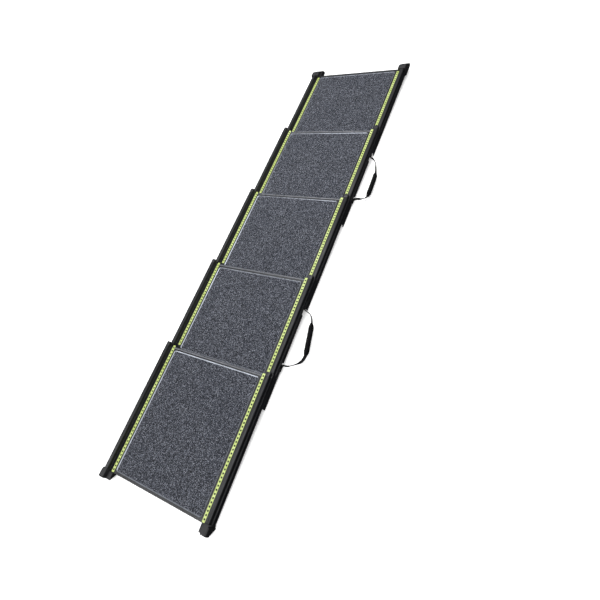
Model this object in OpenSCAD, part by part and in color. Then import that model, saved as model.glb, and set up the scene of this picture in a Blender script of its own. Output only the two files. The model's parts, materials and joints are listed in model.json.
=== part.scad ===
// Telescoping dog ramp: five nested sections on hooked side rails.
// Section 1 is the top of the ramp, section 5 stands on the ground.

/* [Size] */
// Width over the outside of both side rails.
ramp_width = 426; // [396:1:466]
// Length of one section from end cap to end cap.
rail_length = 441; // [430:1:450]
// Distance from one section to the next when pulled out.
section_pitch = 338; // [330:1:338]
// Height step from one section up to the next.
stack_step = 17; // [17:0.1:17.4]

/* [Deck] */
// Distance of the grip mat from the outside of the rail.
mat_inset = 38.5; // [36.5:0.5:60]
// Width of the raised rim round each grip mat.
rim_width = 4; // [2:0.5:6]
// Depth of the ribs under each deck panel.
rib_depth = 9; // [4:0.5:10]
// Width of the glow strips.
strip_width = 9; // [6:0.5:9]
// Diameter of the holes along the glow strips.
strip_hole_d = 5.8; // [2:0.1:6]
// Distance between the holes of the glow strips.
strip_hole_pitch = 11; // [10:0.5:16]

/* [Handles] */
// Distance the lower handle stands out from the rail.
handle_reach = 59; // [54:1:70]
// Radius of the padded handle sleeve.
sleeve_r = 8.5; // [8:0.1:9]

/* [Hidden] */
$fn = 64;
half = ramp_width / 2;
skirt_drop = 32;
foot_drop = 3;
top_rise = 1.5;
foot_out = 3;
near_out = 13;
far_out = 47;
foot_near_end = 16;
cap_from = rail_length - 13;
span = 4 * section_pitch;
tilt = atan2(4 * stack_step - foot_drop, span);
grind = 0.3;
reach_x = handle_reach + sleeve_r * cos(atan2(19, 103));
min_y = -near_out * cos(tilt) - (4 * stack_step - top_rise) * sin(tilt);
max_y = (span + rail_length + far_out) * cos(tilt) + (skirt_drop + foot_drop) * sin(tilt);
shift_x = -(reach_x - foot_out) / 2;
shift_y = -(min_y + max_y) / 2;
shift_z = -(span * sin(tilt) - skirt_drop * cos(tilt)) - grind;
plate_top = -14.9;
plate_low = -17.3;
strip_inset = 29;
glide_u = 7.2;
tab_top = plate_top + 1.2;
strap_z = -26;
strap_w = 12;
strap_t = 2;

// Leans the flat stack back so that it stands on the ground.
module on_floor() {
  translate([shift_x, shift_y, shift_z])
    rotate([tilt, 0, 0])
      children();
}

// Moves one section to its place; its rail tops are at height 0.
module place(i) {
  on_floor()
    translate([0, (5 - i) * section_pitch, (i - 1) * stack_step])
      children();
}

// Moves to the outer face of the right (1) or left (-1) rail.
module side(s) {
  if (s > 0)
    translate([half, 0, 0]) children();
  else
    mirror([1, 0, 0]) translate([half, 0, 0]) children();
}

// Pulls a cross section out along the ramp.
module bar(y0, y1) {
  translate([0, y1, 0])
    rotate([90, 0, 0])
      linear_extrude(height = y1 - y0)
        children();
}

// Everything below the ground, to grind a foot flat.
module below_ground() {
  translate([-500, -1500, -100])
    cube([1000, 3000, 100]);
}

// Head, groove, shoulder, skirt and bottom hook of a side rail. The
// ledge that carries the deck hangs below the inner side of the head.
module rail_outline(ledge) {
  head = [
    [16, 0], [6, 0], [3.4, -0.9], [2, -3.4], [2, -12.8], [5.2, -12.8],
    [5.2, -15.4], [0, -15.4], [0, -skirt_drop], [4.8, -skirt_drop],
    [4.8, 1.4 - skirt_drop], [1.4, 1.4 - skirt_drop], [1.4, -16.6],
    [6.4, -16.6], [6.4, -12.2]
  ];
  inner = ledge > 17 ? [
    [16.4, -12.2], [16.4, plate_low - 1.2], [ledge, plate_low - 1.2],
    [ledge, plate_low], [17.6, plate_low], [17.6, -11], [16, -11]
  ] : [[16, -12.2]];
  polygon([for (p = concat(head, inner)) [-p[0], p[1]]]);
}

// The closed hollow in the rail's head.
module rail_hollow() {
  pts = [
    [14.6, -1.4], [6.4, -1.4], [4.4, -2.1], [3.4, -4],
    [3.4, -11], [14.6, -11]
  ];
  polygon([for (p = pts) [-p[0], p[1]]]);
}

// Tongue that locates an end cap or foot in the hollow.
module tongue() {
  pts = [
    [14.45, -1.55], [6.6, -1.55], [3.7, -4.2],
    [3.7, -10.8], [14.45, -10.8]
  ];
  polygon([for (p = pts) [-p[0], p[1]]]);
}

module rail(i, s) {
  y0 = i == 5 ? foot_near_end : 6;
  place(i) side(s) bar(y0, cap_from) difference() {
    rail_outline(30);
    rail_hollow();
  }
}

// A right rail with two notches and two rivet holes for its handle.
module rail_with_handle(i, path) {
  last = len(path) - 1;
  color("#202124") difference() {
    rail(i, 1);
    place(i) side(1) {
      translate([-6, path[1][1] - 8, -skirt_drop - 1])
        cube([8, 20, 9]);
      translate([-6, path[last - 1][1] - 12, -skirt_drop - 1])
        cube([8, 20, 9]);
      for (k = [0, last])
        translate([-2, rivet_y(path, k), strap_z + 3])
          rotate([0, 90, 0]) cylinder(h = 4, r = 2.1);
    }
  }
}

// Rivets sit halfway along the flat end tabs of the webbing.
function rivet_y(path, k) =
  k == 0 ? (path[0][1] + path[1][1]) / 2 - 3
         : (path[k][1] + path[k - 1][1]) / 2 + 3;

// Ribbed deck panel that lies on the ledges of its two rails. The top
// section's panel reaches out between its two feet.
module deck(i) {
  wide = 2 * (half - 17.9);
  inner = 2 * (half - 31);
  bottom = plate_low - rib_depth;
  color("#26272b") place(i) {
    translate([-wide / 2, 10, plate_low])
      cube([wide, rail_length - 20, plate_top - plate_low]);
    if (i == 1)
      translate([34.5 - half, rail_length - 11, plate_low])
        cube([2 * half - 69, 14, plate_top - plate_low]);
    for (k = [0:7])
      translate([-inner / 2, 10 + k * (rail_length - 22.4) / 7, bottom])
        cube([inner, 2.4, rib_depth + 0.5]);
    for (k = [-3:3])
      translate([k * (inner - 2.4) / 6 - 1.2, 10, bottom])
        cube([2.4, rail_length - 20, rib_depth + 0.5]);
  }
}

module rounded_rect(x, y0, y1, r) {
  translate([-x, y0 + r]) square([2 * x, y1 - y0 - 2 * r]);
  translate([r - x, y0]) square([2 * (x - r), y1 - y0]);
  for (px = [r - x, x - r], py = [y0 + r, y1 - r])
    translate([px, py]) circle(r = r);
}

// Grip mat with a raised rim, laid on the deck panel.
module mat(i) {
  y0 = i == 5 ? 17 : rail_length - section_pitch - 8;
  y1 = rail_length - (i == 1 ? 10 : i == 5 ? 19 : 21);
  x = half - mat_inset;
  color("#5b6068") place(i) {
    translate([0, 0, plate_top])
      linear_extrude(height = 0.7)
        rounded_rect(x, y0, y1, 8);
    translate([0, 0, plate_top])
      linear_extrude(height = 1.4)
        difference() {
          rounded_rect(x, y0, y1, 8);
          rounded_rect(x - rim_width, y0 + rim_width, y1 - rim_width, 5);
        }
  }
}

// Perforated glow strip laid on the deck panel beside the rail.
module strip(i, s) {
  y0 = i == 5 ? 12 : rail_length - section_pitch + 4;
  y1 = rail_length - (i == 1 ? 10 : 6);
  count = floor((y1 - y0 - 2 * strip_hole_d) / strip_hole_pitch);
  start = (y0 + y1 - count * strip_hole_pitch) / 2;
  color("#cfe07a") place(i) side(s)
    translate([-strip_inset, 0, plate_top])
      linear_extrude(height = 1.2)
        difference() {
          translate([-strip_width / 2, y0]) square([strip_width, y1 - y0]);
          for (k = [0:count])
            translate([0, start + k * strip_hole_pitch]) circle(d = strip_hole_d);
        }
}

// End caps of one section's rails, each with a tongue in the hollow.
module plugs(i) {
  color("#141416") difference() {
    place(i) for (s = [-1, 1]) side(s) {
      if (i < 5) {
        bar(0, 6) rail_outline(16);
        bar(5, 20) tongue();
      }
      if (i > 1) {
        bar(cap_from, rail_length) rail_outline(16);
        bar(cap_from - 14, cap_from + 1) tongue();
      }
    }
    below_ground();
  }
}

// Glide pads: under the far end, and on top of the near end as the stop.
module glides(i) {
  color("#3a3b3e") place(i) for (s = [-1, 1]) side(s) {
    if (i > 1)
      translate([-15, rail_length - 88, -16.6])
        cube([15 - glide_u, 83, 4.4]);
    if (i < 5)
      translate([-15, 0.5, 0])
        cube([15 - glide_u, rail_length - section_pitch - 88.8, 4.4]);
  }
}

// Rubber foot on the ground end, ground flat underneath with a long
// chamfer towards the near end. Its inner half fills the corner of
// the deck, and a low bump stands out on its outer side.
module foot_near(s) {
  color("#18181a") difference() {
    place(5) side(s) {
      rotate([90, 0, -90])
        linear_extrude(height = 16.2)
          polygon([[-foot_near_end, top_rise], [near_out - 3, top_rise],
            [near_out, -top_rise], [near_out, -15], [-8, -34.5],
            [-8, -45], [-foot_near_end, -45]]);
      translate([foot_out, 0, 0]) rotate([90, 0, -90])
        linear_extrude(height = foot_out + 0.1)
          polygon([[-10, top_rise - 1], [near_out - 3, top_rise - 1],
            [near_out, -top_rise - 1], [near_out, -15], [-8, -34.5],
            [-8, -45], [-10, -45]]);
      translate([-16, 0, 0]) rotate([90, 0, -90])
        linear_extrude(height = 16)
          polygon([[-9.8, tab_top], [near_out - 2, tab_top],
            [near_out, tab_top - 1.5], [near_out, -16.5], [-8, -34.5],
            [-8, -45], [-9.8, -45]]);
      bar(foot_near_end - 1, foot_near_end + 14) tongue();
    }
    below_ground();
  }
}

// Rubber foot on the top end, with a sloping nose to rest on a sill.
module foot_far(s) {
  y0 = cap_from;
  y1 = rail_length;
  low = -skirt_drop - foot_drop;
  color("#18181a") place(1) side(s) {
    translate([foot_out, 0, 0]) rotate([90, 0, -90])
      linear_extrude(height = 16.2 + foot_out)
        polygon([[-y0, top_rise], [-y1 - 8, top_rise], [-y1 - 15, -2],
          [-y1 - far_out, -24], [-y1 - far_out, low], [-y0, low]]);
    translate([-16, 0, 0]) rotate([90, 0, -90])
      linear_extrude(height = 12)
        polygon([[9.6 - y1, 0], [-y1 - 8, 0], [-y1 - 15, -3],
          [-y1 - far_out, -24], [-y1 - far_out, low], [9.6 - y1, low]]);
    translate([-28, 0, 0]) rotate([90, 0, -90])
      linear_extrude(height = 5)
        polygon([[9.6 - y1, tab_top], [-y1 - 26, tab_top],
          [-y1 - far_out + 2, -25], [-y1 - far_out + 2, low], [9.6 - y1, low]]);
    bar(y0 - 14, y0 + 1) tongue();
  }
}

// Centre line of each handle's webbing: distance out, distance along.
path_2 = [
  [1.2, 100], [1.2, 117], [handle_reach - 18, 124], [handle_reach - 14, 137],
  [handle_reach - 16, 245], [handle_reach - 24, 264],
  [handle_reach - 44, 294], [1.2, 305], [1.2, 322]
];
path_4 = [
  [1.2, 120], [1.2, 137], [22, 141], [handle_reach - 6, 160],
  [handle_reach, 186], [handle_reach - 19, 289],
  [handle_reach - 26, 300], [1.2, 324], [1.2, 341]
];

function seg_normal(p, k) =
  let (d = p[k + 1] - p[k]) [-d[1], d[0]] / norm(d);

// Mitre direction of a path at one of its points.
function mitre(p, k) =
  let (a = seg_normal(p, max(k - 1, 0)), b = seg_normal(p, min(k, len(p) - 2)))
    (a + b) / (1 + a * b);

// A flat band standing on edge that follows a path.
module band(p, w, t) {
  left = [for (k = [0:len(p) - 1]) p[k] + mitre(p, k) * t / 2];
  right = [for (k = [len(p) - 1:-1:0]) p[k] - mitre(p, k) * t / 2];
  translate([0, 0, strap_z - w / 2])
    linear_extrude(height = w)
      polygon(concat(left, right));
}

// Webbing of a handle, riveted to the rail at both ends.
module handle_strap(i, path) {
  last = len(path) - 1;
  color("#1b1c20") place(i) side(1) difference() {
    band(path, strap_w, strap_t);
    for (k = [0, last])
      translate([-2, rivet_y(path, k), strap_z + 3])
        rotate([0, 90, 0]) cylinder(h = 8, r = 2.1);
  }
}

// Padded sleeve round the grip part of the webbing.
module handle_sleeve(i, path, k) {
  d = path[k + 1] - path[k];
  color("#17181b") place(i) side(1) difference() {
    translate([path[k][0], path[k][1], strap_z])
      rotate([0, 90, atan2(d[1], d[0])])
        cylinder(h = norm(d), r = sleeve_r);
    band(path, strap_w + 0.6, strap_t + 0.6);
  }
}

// Two rivets that hold a handle's webbing to the rail.
module handle_rivets(i, path) {
  color("#2c2d30") place(i) side(1) for (k = [0, len(path) - 1])
    translate([-1.4, rivet_y(path, k), strap_z + 3])
      rotate([0, 90, 0]) {
        cylinder(h = 4.2, r = 2);
        translate([0, 0, 3.9]) cylinder(h = 1.3, r = 4);
      }
}

module rail_left(i) {
  color("#202124") rail(i, -1);
}

module rail_right(i) {
  color("#202124") rail(i, 1);
}

deck(1);  // deck_1
mat(1);  // mat_1
rail_left(1);  // rail_left_1
rail_right(1);  // rail_right_1
strip(1, -1);  // strip_left_1
strip(1, 1);  // strip_right_1
plugs(1);  // plugs_1
glides(1);  // glides_1
deck(2);  // deck_2
mat(2);  // mat_2
rail_left(2);  // rail_left_2
rail_with_handle(2, path_2);  // rail_right_2
strip(2, -1);  // strip_left_2
strip(2, 1);  // strip_right_2
plugs(2);  // plugs_2
glides(2);  // glides_2
deck(3);  // deck_3
mat(3);  // mat_3
rail_left(3);  // rail_left_3
rail_right(3);  // rail_right_3
strip(3, -1);  // strip_left_3
strip(3, 1);  // strip_right_3
plugs(3);  // plugs_3
glides(3);  // glides_3
deck(4);  // deck_4
mat(4);  // mat_4
rail_left(4);  // rail_left_4
rail_with_handle(4, path_4);  // rail_right_4
strip(4, -1);  // strip_left_4
strip(4, 1);  // strip_right_4
plugs(4);  // plugs_4
glides(4);  // glides_4
deck(5);  // deck_5
mat(5);  // mat_5
rail_left(5);  // rail_left_5
rail_right(5);  // rail_right_5
strip(5, -1);  // strip_left_5
strip(5, 1);  // strip_right_5
plugs(5);  // plugs_5
glides(5);  // glides_5
foot_near(-1);  // foot_near_left
foot_near(1);  // foot_near_right
foot_far(-1);  // foot_far_left
foot_far(1);  // foot_far_right
handle_strap(2, path_2);  // handle_strap_2
handle_sleeve(2, path_2, 3);  // handle_sleeve_2
handle_rivets(2, path_2);  // handle_rivets_2
handle_strap(4, path_4);  // handle_strap_4
handle_sleeve(4, path_4, 4);  // handle_sleeve_4
handle_rivets(4, path_4);  // handle_rivets_4
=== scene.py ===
import json
import math

import bmesh
import bpy
from mathutils import Matrix, Vector


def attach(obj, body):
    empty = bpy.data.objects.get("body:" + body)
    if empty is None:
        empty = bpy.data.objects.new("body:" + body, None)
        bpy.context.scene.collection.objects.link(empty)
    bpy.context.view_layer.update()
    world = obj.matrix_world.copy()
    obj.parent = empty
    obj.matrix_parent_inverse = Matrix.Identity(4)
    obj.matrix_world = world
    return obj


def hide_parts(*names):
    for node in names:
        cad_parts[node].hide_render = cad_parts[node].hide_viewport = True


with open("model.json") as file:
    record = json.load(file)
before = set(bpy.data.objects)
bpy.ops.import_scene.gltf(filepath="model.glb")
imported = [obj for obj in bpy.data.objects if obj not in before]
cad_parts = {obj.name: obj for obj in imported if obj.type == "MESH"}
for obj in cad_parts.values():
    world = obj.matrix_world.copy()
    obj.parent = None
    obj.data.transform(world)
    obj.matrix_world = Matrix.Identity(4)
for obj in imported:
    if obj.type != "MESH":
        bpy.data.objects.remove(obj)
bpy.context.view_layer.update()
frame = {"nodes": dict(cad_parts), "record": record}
NODES = frame["nodes"]
AXIS = frame["record"]["behaviour"]["joints"][0]["axis"]
LEAN = Matrix.Rotation(math.atan2(AXIS[2], AXIS[1]), 4, "X")
LEVEL = LEAN.inverted()
MM = 0.001

# Lengths below are in millimetres.
# How far section 5's rails stop short of its near end, and section 1's of its far end.
NEAR_SETBACK = 16
FAR_SETBACK = 13
# Corner radius of a mat, and of its flat field, which starts inside the rim.
MAT_CORNER = 9
FIELD_CORNER = 6
FIELD_INSET = 3.2
# The bead on a deck panel's far edge: its inset, clear of rails and strips, and its steps.
BEAD_INSET = 16
BEAD_STEPS = 40
# Height of the handles' middle line below the rail top.
HANDLE_UP = -26
# Grains of the grip surface per metre.
GRIT = 800.0


def straight_box(node):
    """Corners of a CAD node's box in the ramp's own straight axes."""
    points = [LEVEL @ v.co for v in NODES[node].data.vertices]
    lo = Vector([min(p[k] for p in points) for k in range(3)])
    hi = Vector([max(p[k] for p in points) for k in range(3)])
    return lo, hi


class Section:
    """Where one section lies: rail faces, near and far end, and rail top."""

    def __init__(self, i):
        left, right = straight_box(f"rail_left_{i}"), straight_box(f"rail_right_{i}")
        plugs = straight_box(f"plugs_{i}")
        self.i = i
        self.left, self.right = left[0].x, right[1].x
        self.top = left[1].z
        self.near = plugs[0].y if i < 5 else left[0].y - NEAR_SETBACK * MM
        self.far = plugs[1].y if i > 1 else left[1].y + FAR_SETBACK * MM
        self.body = f"section_{i}"

    def at(self, side, inward, along, up):
        """A point in millimetres from a rail's outer face, near end and top."""
        x = self.right - inward * MM if side > 0 else self.left + inward * MM
        return Vector((x, self.near + along * MM, self.top + up * MM))


SECTIONS = [Section(i) for i in range(1, 6)]


# ---------------------------------------------------------------- materials
class Nodes:
    """A short way to wire up one material."""

    def __init__(self, name):
        self.mat = bpy.data.materials.new(name)
        self.mat.use_nodes = True
        self.tree = self.mat.node_tree
        self.bsdf = self.tree.nodes["Principled BSDF"]
        self.coord = self.add("ShaderNodeTexCoord")

    def add(self, kind, **props):
        node = self.tree.nodes.new(kind)
        for key, value in props.items():
            setattr(node, key, value)
        return node

    def link(self, a, b):
        self.tree.links.new(a, b)

    def place(self, source="Object", stretch=None):
        """Texture coordinates, squeezed or stretched along the axes."""
        if stretch is None:
            return self.coord.outputs[source]
        m = self.add("ShaderNodeMapping")
        m.inputs["Scale"].default_value = stretch
        self.link(self.coord.outputs[source], m.inputs["Vector"])
        return m.outputs["Vector"]

    def noise(self, scale, detail=2.0, rough=0.5, stretch=None):
        n = self.add("ShaderNodeTexNoise")
        n.inputs["Scale"].default_value = scale
        n.inputs["Detail"].default_value = detail
        n.inputs["Roughness"].default_value = rough
        self.link(self.place(stretch=stretch), n.inputs["Vector"])
        return n.outputs["Fac"]

    def cells(self, scale):
        v = self.add("ShaderNodeTexVoronoi")
        v.inputs["Scale"].default_value = scale
        self.link(self.place(), v.inputs["Vector"])
        return v

    def bands(self, scale, direction, **settings):
        """Woven or turned stripes that follow the piece's own length."""
        w = self.add("ShaderNodeTexWave", wave_type="BANDS", bands_direction=direction)
        w.inputs["Scale"].default_value = scale
        for key, value in settings.items():
            w.inputs[key].default_value = value
        self.link(self.place("UV"), w.inputs["Vector"])
        return w.outputs["Fac"]

    def ramp(self, fac, stops):
        r = self.add("ShaderNodeValToRGB")
        while len(r.color_ramp.elements) < len(stops):
            r.color_ramp.elements.new(0.5)
        for element, (place, color) in zip(r.color_ramp.elements, stops):
            element.position = place
            element.color = (*color, 1)
        self.link(fac, r.inputs["Fac"])
        return r.outputs["Color"]

    def span(self, fac, lo, hi, a=0.3, b=0.7):
        m = self.add("ShaderNodeMapRange")
        m.inputs["From Min"].default_value = a
        m.inputs["From Max"].default_value = b
        m.inputs["To Min"].default_value = lo
        m.inputs["To Max"].default_value = hi
        self.link(fac, m.inputs["Value"])
        return m.outputs["Result"]

    def mix(self, fac, a, b):
        m = self.add("ShaderNodeMix", data_type="RGBA")
        self.link(fac, m.inputs["Factor"])
        for socket, value in zip([s for s in m.inputs if s.type == "RGBA"], (a, b)):
            if isinstance(value, tuple):
                socket.default_value = (*value, 1)
            else:
                self.link(value, socket)
        return [s for s in m.outputs if s.type == "RGBA"][0]

    def bump(self, height, distance, strength=1.0, after=None):
        b = self.add("ShaderNodeBump")
        b.inputs["Strength"].default_value = strength
        b.inputs["Distance"].default_value = distance
        self.link(height, b.inputs["Height"])
        if after is not None:
            self.link(after, b.inputs["Normal"])
        return b.outputs["Normal"]

    def finish(self, color, rough, normal, **values):
        self.link(color, self.bsdf.inputs["Base Color"])
        self.link(rough, self.bsdf.inputs["Roughness"])
        self.link(normal, self.bsdf.inputs["Normal"])
        for key, value in values.items():
            self.bsdf.inputs[key.replace("_", " ")].default_value = value
        return self.mat


def powder_coat():
    """Satin black coat with faint drag lines along the rail and pale scuffs."""
    m = Nodes("powder_coat")
    base = m.mix(m.span(m.noise(9.0, 3.0), 0.0, 1.0), (0.0085, 0.0088, 0.010), (0.014, 0.0145, 0.0165))
    drag = m.noise(1.0, 4.0, 0.6, stretch=(420.0, 9.0, 420.0))
    base = m.mix(m.span(drag, 0.0, 0.3, 0.55, 0.8), base, (0.05, 0.052, 0.058))
    scuff = m.noise(55.0, 6.0, 0.72)
    base = m.mix(m.span(scuff, 0.0, 0.25, 0.64, 0.76), base, (0.12, 0.124, 0.132))
    normal = m.bump(m.noise(900.0, 1.0), 0.00012, 0.5)
    normal = m.bump(drag, 0.00008, 0.5, normal)
    return m.finish(base, m.span(m.noise(45.0, 4.0), 0.34, 0.5), normal, Specular_IOR_Level=0.36)


def black_plastic(name, color, rough, grain=500.0, depth=0.0002):
    """Moulded plastic with fine texture, cloudy tone and light scratches."""
    m = Nodes(name)
    light = tuple(c * 1.5 + 0.003 for c in color)
    base = m.mix(m.span(m.noise(22.0, 4.0), 0.0, 1.0), color, light)
    scratch = m.noise(1.0, 5.0, 0.7, stretch=(60.0, 700.0, 60.0))
    base = m.mix(m.span(scratch, 0.0, 0.25, 0.60, 0.8), base, tuple(c * 3 + 0.02 for c in color))
    normal = m.bump(m.noise(grain, 2.0), depth, 0.6)
    return m.finish(base, m.span(m.noise(70.0, 3.0), rough - 0.07, rough + 0.1), normal)


def grip_material():
    """Coarse speckled grit: dark grains with a few pale ones standing up."""
    m = Nodes("grip_surface")
    grains = m.cells(GRIT)
    tone = m.add("ShaderNodeSeparateColor")
    m.link(grains.outputs["Color"], tone.inputs["Color"])
    speck = m.ramp(tone.outputs["Red"], [
        (0.0, (0.003, 0.0035, 0.005)), (0.45, (0.006, 0.007, 0.010)), (0.66, (0.028, 0.031, 0.042)),
        (0.86, (0.125, 0.135, 0.168)), (1.0, (0.37, 0.385, 0.44))])
    drift = m.noise(6.0, 4.0)
    base = m.mix(m.span(drift, 0.0, 0.16), speck, (0.045, 0.050, 0.065))
    dust = m.noise(38.0, 5.0, 0.7)
    base = m.mix(m.span(dust, 0.0, 0.10, 0.5, 0.8), base, (0.14, 0.145, 0.155))
    height = m.add("ShaderNodeMath", operation="SUBTRACT")
    m.link(tone.outputs["Red"], height.inputs[0])
    m.link(grains.outputs["Distance"], height.inputs[1])
    normal = m.bump(height.outputs[0], 0.0006, 0.7)
    normal = m.bump(m.noise(1900.0, 2.0), 0.0002, 0.5, normal)
    return m.finish(base, m.span(drift, 0.60, 0.80), normal, Specular_IOR_Level=0.2)


def rim_material(name, dark, light, rough, metal):
    """Smooth grey edging with a soft gloss; on the panel edge the grey is a painted highlight."""
    m = Nodes(name)
    base = m.mix(m.span(m.noise(30.0, 4.0), 0.0, 1.0), dark, light)
    rub = m.noise(1.0, 4.0, 0.6, stretch=(300.0, 300.0, 300.0))
    base = m.mix(m.span(rub, 0.0, 0.3, 0.6, 0.8), base, tuple(c * 1.5 for c in light))
    return m.finish(base, m.span(m.noise(90.0, 3.0), rough - 0.06, rough + 0.1),
                    m.bump(m.noise(700.0), 0.0001, 0.3), Specular_IOR_Level=0.9, Metallic=metal)


def strip_plastic_with_painted_glow():
    """Yellow-green strip plastic with a waxy sheen, grime and a painted glow."""
    m = Nodes("glow_strip")
    base = m.mix(m.span(m.noise(40.0, 3.0), 0.0, 1.0), (0.42, 0.51, 0.14), (0.56, 0.65, 0.25))
    grime = m.noise(150.0, 5.0, 0.7)
    base = m.mix(m.span(grime, 0.0, 0.5, 0.58, 0.8), base, (0.26, 0.34, 0.05))
    # Painted glow: a faint yellow-green emission that stands in for the green light the strip throws on the
    # rail wall beside it; the strip is no lamp.
    m.bsdf.inputs["Emission Color"].default_value = (0.60, 0.84, 0.06, 1)
    m.bsdf.inputs["Emission Strength"].default_value = 0.06
    return m.finish(base, m.span(m.noise(120.0, 3.0), 0.24, 0.42), m.bump(m.noise(400.0), 0.0001, 0.4))


def webbing_material():
    """Black woven nylon: ribs across the strap and a weave along it."""
    m = Nodes("webbing")
    ribs = m.bands(180.0, "Y", Distortion=1.5, Detail=1.0)
    weave = m.bands(2.6, "X")
    base = m.mix(ribs, (0.0015, 0.0015, 0.002), (0.008, 0.008, 0.0095))
    fuzz = m.noise(300.0, 3.0)
    base = m.mix(m.span(fuzz, 0.0, 0.2, 0.55, 0.8), base, (0.035, 0.035, 0.038))
    normal = m.bump(ribs, 0.0004, 0.8)
    normal = m.bump(weave, 0.0003, 0.5, normal)
    return m.finish(base, m.span(m.noise(160.0, 3.0), 0.7, 0.9), normal, Specular_IOR_Level=0.15)


def sleeve_material():
    """Soft black padding with a fine knit and shallow creases."""
    m = Nodes("sleeve")
    knit = m.cells(900.0)
    base = m.mix(m.span(m.noise(60.0, 4.0), 0.0, 1.0), (0.0015, 0.0015, 0.002), (0.006, 0.006, 0.0075))
    normal = m.bump(knit.outputs["Distance"], 0.0004, 0.6)
    normal = m.bump(m.noise(70.0, 2.0), 0.0012, 0.35, normal)
    return m.finish(base, m.span(m.noise(120.0, 3.0), 0.72, 0.92), normal, Specular_IOR_Level=0.12)


def rubber_material():
    """Matt black rubber with a pebbled skin and dusty patches."""
    m = Nodes("foot_rubber")
    base = m.mix(m.span(m.noise(35.0, 4.0), 0.0, 1.0), (0.006, 0.006, 0.0075), (0.015, 0.015, 0.017))
    dust = m.noise(60.0, 6.0, 0.75)
    base = m.mix(m.span(dust, 0.0, 0.35, 0.58, 0.8), base, (0.07, 0.07, 0.068))
    return m.finish(base, m.span(m.noise(80.0, 4.0), 0.52, 0.76), m.bump(m.noise(800.0, 2.0), 0.0003, 0.6))


MATS = {
    "rail_black": powder_coat(),
    "deck_black": black_plastic("deck_plastic", (0.008, 0.0088, 0.011), 0.45, 420.0),
    "cap_black": black_plastic("cap_plastic", (0.008, 0.008, 0.0095), 0.38),
    "glide_grey": black_plastic("glide_plastic", (0.022, 0.022, 0.024), 0.35),
    "rivet": black_plastic("rivet_paint", (0.014, 0.014, 0.015), 0.3),
    "foot_rubber": rubber_material(),
    "grip_mat": grip_material(),
    # Strip hole floor: stands for the black deck seen through the holes, painted darker than the deck as
    # the shade inside each hole.
    "backing_and_painted_shade": black_plastic("strip_backing_and_painted_shade", (0.003, 0.003, 0.003), 0.6),
    "rim": rim_material("mat_rim", (0.14, 0.15, 0.176), (0.21, 0.225, 0.26), 0.26, 0.65),
    # Panel edge: painted highlight, a grey far lighter than the deck plastic, for the light caught on the
    # panel's rounded far edge.
    "edge": rim_material("panel_edge_painted_highlight", (0.055, 0.059, 0.071), (0.092, 0.098, 0.116), 0.3, 0.0),
    "glow_strip": strip_plastic_with_painted_glow(),
    "webbing": webbing_material(),
    "sleeve": sleeve_material(),
}


# ---------------------------------------------------------------- meshes
def new_object(name, bm, material, body, replaces=(), smooth=40):
    """Turns a bmesh in straight axes into a piece that rides on its body."""
    bmesh.ops.transform(bm, matrix=LEAN, verts=bm.verts)
    bmesh.ops.recalc_face_normals(bm, faces=bm.faces)
    mesh = bpy.data.meshes.new(name)
    bm.to_mesh(mesh)
    bm.free()
    obj = bpy.data.objects.new(name, mesh)
    bpy.context.scene.collection.objects.link(obj)
    obj.data.materials.append(material)
    for p in mesh.polygons:
        p.use_smooth = True
    mesh.set_sharp_from_angle(angle=math.radians(smooth))
    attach(obj, body)
    if replaces:
        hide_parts(*replaces)
    return obj


def dress(node, slot, width, segments=2):
    """Rounds a CAD node's edges with modifiers and gives it its material."""
    obj = NODES[node]
    obj.data.materials.clear()
    obj.data.materials.append(MATS[slot])
    for p in obj.data.polygons:
        p.use_smooth = True
        p.material_index = 0
    weld = obj.modifiers.new("weld", "WELD")
    weld.merge_threshold = 1e-6
    bevel = obj.modifiers.new("bevel", "BEVEL")
    bevel.width = width * MM
    bevel.segments = segments
    bevel.limit_method = "ANGLE"
    bevel.angle_limit = math.radians(25)
    bevel.harden_normals = True
    return obj


def rounded_path(x0, x1, y0, y1, r, steps=8):
    """Corner-rounded rectangle, as points with outward directions."""
    points = []
    corners = ((x1 - r, y1 - r, 0), (x0 + r, y1 - r, 90),
               (x0 + r, y0 + r, 180), (x1 - r, y0 + r, 270))
    for cx, cy, start in corners:
        for k in range(steps + 1):
            a = math.radians(start + 90 * k / steps)
            points.append((cx + r * math.cos(a), cy + r * math.sin(a), math.cos(a), math.sin(a)))
    return points


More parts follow.
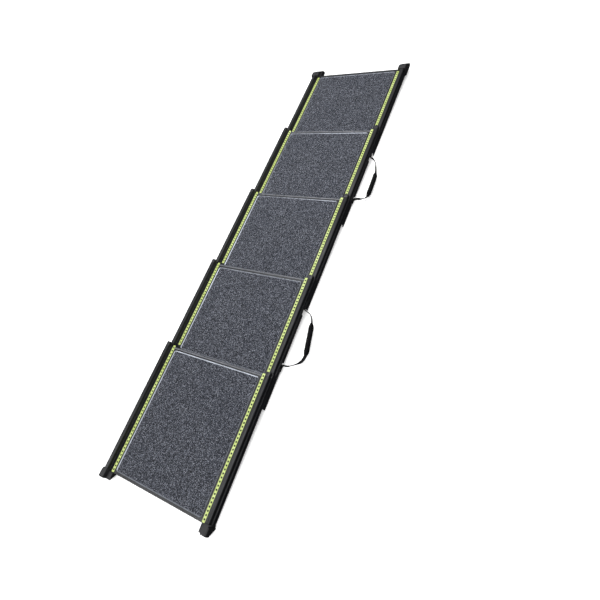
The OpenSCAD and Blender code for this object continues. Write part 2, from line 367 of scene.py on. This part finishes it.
def grip_mat(s):
    """The mat's flat field and its raised, rounded rim, as two pieces."""
    lo, hi = straight_box(f"mat_{s.i}")
    base, top = lo.z + 0.7 * MM, hi.z + 0.35 * MM
    path = rounded_path(lo.x, hi.x, lo.y, hi.y, MAT_CORNER * MM)
    bm = bmesh.new()
    rings = []
    profile = [(0.0, lo.z), (0.0, top - 0.7 * MM), (0.25, top - 0.2 * MM), (0.7, top), (1.2, top),
               (1.5, top - 0.1 * MM), (4.2, base + 0.02 * MM), (4.5, base - 0.1 * MM)]
    for inset, z in profile:
        rings.append([bm.verts.new((x - nx * inset * MM, y - ny * inset * MM, z)) for x, y, nx, ny in path])
    for level, (a, b) in enumerate(zip(rings, rings[1:])):
        for k in range(len(path)):
            j = (k + 1) % len(path)
            bm.faces.new((a[k], a[j], b[j], b[k])).material_index = 1 if level >= 4 else 0
    rim = new_object(f"mat_rim_{s.i}", bm, MATS["deck_black"], s.body, smooth=25)
    rim.data.materials.append(MATS["rim"])
    bm = bmesh.new()
    inner = rounded_path(lo.x + FIELD_INSET * MM, hi.x - FIELD_INSET * MM,
                         lo.y + FIELD_INSET * MM, hi.y - FIELD_INSET * MM, FIELD_CORNER * MM)
    upper = [bm.verts.new((x, y, base)) for x, y, nx, ny in inner]
    lower = [bm.verts.new((x, y, lo.z)) for x, y, nx, ny in inner]
    bm.faces.new(upper)
    bm.faces.new(lower[::-1])
    for k in range(len(inner)):
        j = (k + 1) % len(inner)
        bm.faces.new((lower[k], lower[j], upper[j], upper[k]))
    field = new_object(f"mat_field_{s.i}", bm, MATS["grip_mat"], s.body, [f"mat_{s.i}"])
    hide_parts(f"mat_{s.i}")
    return field


def panel_edge_painted_highlight(s):
    """The rounded bead along the far edge of a deck panel, in a grey far lighter than the deck: a painted
    highlight of the light its rounded edge catches.
    """
    lo, hi = straight_box(f"deck_{s.i}")
    length = hi.x - lo.x - 2 * BEAD_INSET * MM
    bm = bmesh.new()
    rings = []
    profile = ((-5.4, -0.2), (-5.0, 0.5), (-4.2, 1.0), (-2.4, 1.2), (-1.0, 1.0), (-0.3, 0.4), (-0.1, -0.4))
    for dy, dz in profile:
        y, z = hi.y + (dy - 0.4) * MM, hi.z + dz * MM
        rings.append([bm.verts.new((lo.x + BEAD_INSET * MM + k * length / BEAD_STEPS, y, z))
                      for k in range(BEAD_STEPS + 1)])
    for a, b in zip(rings, rings[1:]):
        for k in range(BEAD_STEPS):
            bm.faces.new((a[k], a[k + 1], b[k + 1], b[k]))
    bm.faces.new([r[0] for r in rings])
    bm.faces.new([r[-1] for r in rings][::-1])
    bm.faces.new(rings[0][::-1] + rings[-1])
    return new_object(f"panel_edge_painted_highlight_{s.i}", bm, MATS["edge"], s.body, smooth=60)


def glow_strip(s, side):
    """A strip of joined cells, each with one round hole down to a near-black floor: the black deck seen
    through, painted darker than the deck as shade in the hole.
    """
    name = f"strip_{'right' if side > 0 else 'left'}_{s.i}"
    lo, hi = straight_box(name)
    pitch, radius, n = 11.0, 2.9, 24
    count = int((hi.y - lo.y) / MM // pitch)
    edge = ((hi.y - lo.y) / MM - count * pitch) / 2
    mid, half = (lo.x + hi.x) / 2 / MM, (hi.x - lo.x) / 2 / MM
    top, low = hi.z / MM, lo.z / MM
    bm = bmesh.new()

    def ring(cy, size, z, square=False):
        out = []
        for k in range(n):
            a = 2 * math.pi * (k + 0.5) / n
            dx, dy = math.cos(a), math.sin(a)
            if square:
                f = min(half / abs(dx), (pitch / 2) / abs(dy))
                dx, dy, size = dx * f, dy * f, 1.0
                if abs(abs(dx) - half) < 0.9 and abs(abs(dy) - pitch / 2) < 0.9:
                    dx, dy = math.copysign(half, dx), math.copysign(pitch / 2, dy)
            out.append(bm.verts.new(((mid + dx * size) * MM, (cy + dy * size) * MM, z * MM)))
        return out

    for c in range(count):
        cy = lo.y / MM + edge + (c + 0.5) * pitch
        loops = [ring(cy, 1, top, True), ring(cy, radius + 0.3, top), ring(cy, radius, top - 0.3),
                 ring(cy, radius, low + 0.15), ring(cy, 1, low, True)]
        # The hole floor takes the near-black second material: painted shade in the hole.
        bm.faces.new(loops[3]).material_index = 1
        bm.faces.new(loops[4][::-1])
        for a, b in zip(loops, loops[1:-1]):
            for k in range(n):
                j = (k + 1) % n
                bm.faces.new((a[k], a[j], b[j], b[k]))
        sides = [(k, (k + 1) % n) for k in range(n)]
        for k, j in sides:
            a, b = loops[0][k].co, loops[0][j].co
            if abs(a.x - b.x) < 1e-7 and abs(abs(a.x / MM - mid) - half) < 1e-4:
                bm.faces.new((loops[0][j], loops[0][k], loops[4][k], loops[4][j]))
    for y0, y1 in ((lo.y, lo.y + edge * MM), (hi.y - edge * MM, hi.y)):
        box = bmesh.ops.create_cube(bm, size=1.0)["verts"]
        for v in box:
            v.co = Vector((mid * MM + v.co.x * 2 * half * MM, (y0 + y1) / 2 + v.co.y * (y1 - y0),
                           (top + low) / 2 * MM + v.co.z * (top - low) * MM))
    bmesh.ops.remove_doubles(bm, verts=bm.verts, dist=1e-6)
    strip = new_object(f"glow_{name}", bm, MATS["glow_strip"], s.body, [name])
    strip.data.materials.append(MATS["backing_and_painted_shade"])
    return strip


def spline(points, per=12):
    """Centripetal-like Catmull-Rom through the points."""
    out = []
    for k in range(len(points) - 1):
        p0 = points[max(k - 1, 0)]
        p1, p2 = points[k], points[k + 1]
        p3 = points[min(k + 2, len(points) - 1)]
        for j in range(per):
            t = j / per
            out.append(0.5 * ((2 * p1) + (p2 - p0) * t + (2 * p0 - 5 * p1 + 4 * p2 - p3) * t * t
                              + (3 * p1 - p0 - 3 * p2 + p3) * t ** 3))
    out.append(points[-1].copy())
    return out


def sweep(bm, line, shape, scale, twist):
    """Sweeps a closed section along a line. scale(t) and twist(t) vary along it."""
    up = Vector((0, 0, 1))
    uv = bm.loops.layers.uv.verify()
    rings, along, total = [], [0.0], 0.0
    for a, b in zip(line, line[1:]):
        total += (b - a).length
        along.append(total)
    for k, p in enumerate(line):
        d = (line[min(k + 1, len(line) - 1)] - line[max(k - 1, 0)]).normalized()
        side = d.cross(up).normalized()
        over = side.cross(d)
        t = along[k] / total
        c, s = math.cos(twist(t)), math.sin(twist(t))
        w, h = scale(t)
        rings.append([bm.verts.new(p + (side * c + over * s) * x * w + (over * c - side * s) * y * h)
                      for x, y in shape])
    n = len(shape)
    for k in range(len(rings) - 1):
        for j in range(n):
            i = (j + 1) % n
            f = bm.faces.new((rings[k][j], rings[k][i], rings[k + 1][i], rings[k + 1][j]))
            for loop, (u, v) in zip(f.loops, ((j, k), (j + 1, k), (j + 1, k + 1), (j, k + 1))):
                loop[uv].uv = (u / n, along[v])
    for ring in (rings[0][::-1], rings[-1]):
        bm.faces.new(ring)


def rounded_section(n, power):
    pts = []
    for k in range(n):
        a = 2 * math.pi * k / n
        c, s = math.cos(a), math.sin(a)
        pts.append((math.copysign(abs(c) ** power, c), math.copysign(abs(s) ** power, s)))
    return pts


def turning(keys):
    """Smooth change between (place along the strap, angle) keys."""
    def at(t):
        for (t0, a0), (t1, a1) in zip(keys, keys[1:]):
            if t <= t1:
                f = max(0.0, (t - t0) / (t1 - t0))
                return a0 + (a1 - a0) * f * f * (3 - 2 * f)
        return keys[-1][1]
    return at


def handle(s, before, grip, after, keys):
    """Webbing riveted flat on the rail at both ends, with a padded sleeve."""
    line = [s.at(1, -out, along, HANDLE_UP) for out, along in before + grip + after]
    bm = bmesh.new()
    sweep(bm, spline(line), rounded_section(16, 0.45), lambda t: (1.0 * MM, 5.6 * MM), turning(keys))
    new_object(f"webbing_{s.i}", bm, MATS["webbing"], s.body, [f"handle_strap_{s.i}"], 50)
    core = [s.at(1, -out, along, HANDLE_UP) for out, along in grip]
    bm = bmesh.new()

    def size(t):
        e = min(t, 1 - t)
        k = 0.34 + 0.66 * min(1.0, e / 0.13) ** 0.7
        return (6.4 * MM * k, 8.6 * MM * (0.6 + 0.4 * min(1.0, e / 0.10)))

    sweep(bm, spline(core, 24), rounded_section(28, 0.75), size, lambda t: 0.35)
    sleeve = new_object(f"sleeve_{s.i}", bm, MATS["sleeve"], s.body, [f"handle_sleeve_{s.i}"], 50)
    return sleeve


for s in SECTIONS:
    i = s.i
    grip_mat(s)
    if i > 1:
        panel_edge_painted_highlight(s)
    glow_strip(s, -1)
    glow_strip(s, 1)
    dress(f"deck_{i}", "deck_black", 0.4)
    dress(f"rail_left_{i}", "rail_black", 0.35)
    dress(f"rail_right_{i}", "rail_black", 0.35)
    dress(f"plugs_{i}", "cap_black", 0.4)
    dress(f"glides_{i}", "glide_grey", 0.4)
for corner in ("near_left", "near_right", "far_left", "far_right"):
    dress(f"foot_{corner}", "foot_rubber", 1.6, 3)
for i in (2, 4):
    dress(f"handle_rivets_{i}", "rivet", 0.3)

handle(SECTIONS[1],
       [(1.2, 101), (1.2, 111.5), (6, 116.5), (22, 118.5), (38, 122)],
       [(47, 132), (48.4, 150), (48.2, 190), (47, 222), (45.6, 236)],
       [(39.7, 256.3), (29.7, 282.7), (15, 301), (4, 307), (1.2, 310.5), (1.2, 321)],
       [(0, 0), (0.121, 0), (0.171, -0.5), (0.221, -1.2),
        (0.34, -1.57), (0.698, -2.9), (0.797, -3.14), (1, -3.14)])
handle(SECTIONS[3],
       [(1.2, 121), (1.2, 136.5), (5, 141.5), (19.4, 143), (41.5, 154.6), (57.5, 169)],
       [(62.3, 187), (60.4, 204), (57, 222), (48.4, 268), (43, 291.6)],
       [(36.8, 306.5), (26.8, 318.8), (12.1, 326), (3.4, 328.6), (1.2, 332), (1.2, 341)],
       [(0, 0), (0.096, 0.15), (0.214, -0.6), (0.313, -1.45),
        (0.372, -1.57), (0.707, -3.0), (0.786, -3.14), (1, -3.14)])


# ---------------------------------------------------------------- stage
def soft_sun(name, source, spread, power, shine):
    """A wide, soft light that comes evenly from one direction."""
    data = bpy.data.lights.new(name, "SUN")
    data.specular_factor = shine
    data.angle = math.radians(spread)
    data.energy = power
    obj = bpy.data.objects.new(name, data)
    bpy.context.scene.collection.objects.link(obj)
    obj.rotation_mode = "QUATERNION"
    obj.rotation_quaternion = Vector(source).to_track_quat("Z", "Y")


def pale_floor():
    """A plain white paper floor just under the ramp's feet."""
    mesh = bpy.data.meshes.new("floor")
    bm = bmesh.new()
    bmesh.ops.create_grid(bm, x_segments=2, y_segments=2, size=30)
    bm.to_mesh(mesh)
    bm.free()
    floor = bpy.data.objects.new("floor", mesh)
    bpy.context.scene.collection.objects.link(floor)
    floor.location.z = -0.5 * MM
    floor.visible_glossy = False
    floor.visible_diffuse = False
    m = Nodes("floor_paper")
    cloud = m.noise(3.0)
    base = m.mix(m.span(cloud, 0.0, 1.0), (0.945, 0.945, 0.945), (0.96, 0.96, 0.96))
    mesh.materials.append(m.finish(base, m.span(cloud, 0.85, 0.95), m.bump(m.noise(500.0), 0.00005, 0.3),
                                   Emission_Color=(1, 1, 1, 1), Emission_Strength=0.32))


def studio_sky():
    """Light from above that fades to near black at the horizon."""
    world = bpy.data.worlds.new("studio")
    bpy.context.scene.world = world
    world.use_nodes = True
    sky = world.node_tree
    way = sky.nodes.new("ShaderNodeTexCoord")
    height = sky.nodes.new("ShaderNodeSeparateXYZ")
    fade = sky.nodes.new("ShaderNodeValToRGB")
    sky.links.new(way.outputs["Generated"], height.inputs["Vector"])
    sky.links.new(height.outputs["Z"], fade.inputs["Fac"])
    sky.links.new(fade.outputs["Color"], sky.nodes["Background"].inputs["Color"])
    fade.color_ramp.elements[0].color = (0.03, 0.03, 0.035, 1)
    fade.color_ramp.elements[1].color = (1.0, 1.0, 1.0, 1)
    fade.color_ramp.elements[1].position = 0.6
    sky.nodes["Background"].inputs["Strength"].default_value = 0.72
    bpy.context.scene.view_settings.view_transform = "Standard"


def overhead_panel():
    """A square panel above the ramp that adds no highlights."""
    data = bpy.data.lights.new("overhead", "AREA")
    data.size = 0.8
    data.energy = 7
    data.specular_factor = 0.0
    panel = bpy.data.objects.new("overhead", data)
    bpy.context.scene.collection.objects.link(panel)
    panel.location = (-0.3, 0.4, 1.3)


def photo_camera():
    """The camera, at the photograph's angle."""
    data = bpy.data.cameras.new("camera")
    data.sensor_width = 36
    data.lens = 25.914
    camera = bpy.data.objects.new("camera", data)
    bpy.context.scene.collection.objects.link(camera)
    camera.matrix_world = Matrix((
        (0.858945, -0.173805, 0.481669, 0.82026),
        (0.374296, 0.855021, -0.358946, -0.71304),
        (-0.349451, 0.488601, 0.799470, 1.13261),
        (0, 0, 0, 1)))
    bpy.context.scene.camera = camera


pale_floor()
studio_sky()
soft_sun("top", (0.1, -0.1, 1.0), 55, 1.9, 0.6)
soft_sun("left", (-0.62, -0.50, 0.66), 24, 0.6, 1.4)
overhead_panel()
photo_camera()
